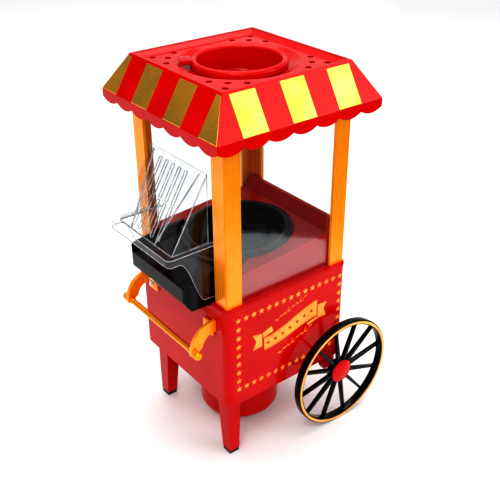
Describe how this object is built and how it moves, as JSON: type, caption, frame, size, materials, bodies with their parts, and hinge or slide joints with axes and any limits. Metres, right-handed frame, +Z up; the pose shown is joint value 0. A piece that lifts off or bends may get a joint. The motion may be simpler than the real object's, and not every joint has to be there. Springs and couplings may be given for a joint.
{
  "type": "popcorn cart",
  "caption": "Table-top hot-air popcorn maker shaped as a fairground cart: striped canopy on gold posts over a red cabinet with spoked wheels.",
  "frame": {"origin": "on the table under the middle of the bounding box", "axes": "+Z up, front (hood, chute and handle) towards -Y, wheels' axle along X"},
  "size_m": [0.1828, 0.2354, 0.3815],
  "materials": {
    "red_plastic": "high-gloss moulded plastic",
    "deck_plastic": "gloss moulded plastic",
    "black_plastic": "gloss moulded plastic",
    "gold_plastic": "gold lacquered plastic",
    "gold_foil": "hot-stamped metallic foil",
    "clear_plastic": "clear polystyrene",
    "aluminium": "spun sheet",
    "steel": "plated steel",
    "rubber": "soft pad",
    "wheel_plastic": "gloss moulded plastic"
  },
  "bodies": {
    "cart": {"cabinet_shell": "red_plastic", "base_cover": "red_plastic", "deck": "deck_plastic", "collar_ring": "black_plastic", "popping_chamber": "aluminium", "air_duct": "black_plastic", "heater": "steel", "motor": "steel", "motor_bracket": "steel", "motor_housing": "red_plastic", "chute": "black_plastic", "hood_pegs": "black_plastic", "post_front_left": "gold_plastic", "post_front_right": "gold_plastic", "post_rear_left": "gold_plastic", "post_rear_right": "gold_plastic", "window_left": "clear_plastic", "window_right": "clear_plastic", "window_rear": "clear_plastic", "canopy": "red_plastic", "canopy_stripes": "gold_foil", "foil_left": "gold_foil", "foil_right": "gold_foil", "handle_bar": "gold_plastic", "handle_arm_left": "gold_plastic", "handle_arm_right": "gold_plastic", "handle_screws": "steel", "leg_left": "red_plastic", "leg_right": "red_plastic", "foot_left": "rubber", "foot_right": "rubber", "axle": "steel", "axle_bracket_left": "red_plastic", "axle_bracket_right": "red_plastic", "switch_bezel": "black_plastic", "cable_gland": "black_plastic", "base_screws": "steel"},
    "hood": {"hood": "clear_plastic"},
    "measuring_cup": {"measuring_cup": "red_plastic"},
    "wheel_left": {"wheel_left": "wheel_plastic", "wheel_ring_left": "gold_foil", "hub_cap_left": "red_plastic"},
    "wheel_right": {"wheel_right": "wheel_plastic", "wheel_ring_right": "gold_foil", "hub_cap_right": "red_plastic"},
    "switch_rocker": {"switch_rocker": "red_plastic"},
    "fan": {"fan": "black_plastic"}
  },
  "joints": [
    {"name": "hood_hinge", "type": "hinge", "parent": "cart", "child": "hood", "pos_m": [0, -0.07375, 0.193], "axis": [1, 0, 0], "range_deg": [0, 80]},
    {"name": "cup_lift", "type": "slide", "parent": "cart", "child": "measuring_cup", "axis": [0, 0, 1], "range_m": [0, 0.06]},
    {"name": "wheel_left_spin", "type": "hinge", "parent": "cart", "child": "wheel_left", "pos_m": [-0.085, 0.05775, 0.06], "axis": [1, 0, 0], "continuous": true},
    {"name": "wheel_right_spin", "type": "hinge", "parent": "cart", "child": "wheel_right", "pos_m": [0.085, 0.05775, 0.06], "axis": [1, 0, 0], "continuous": true},
    {"name": "switch_rock", "type": "hinge", "parent": "cart", "child": "switch_rocker", "pos_m": [0.034, 0.06755, 0.112], "axis": [-1, 0, 0], "range_deg": [0, 16]},
    {"name": "fan_spin", "type": "hinge", "parent": "cart", "child": "fan", "pos_m": [0, -0.00825, 0.076], "axis": [0, 0, 1], "continuous": true}
  ]
}
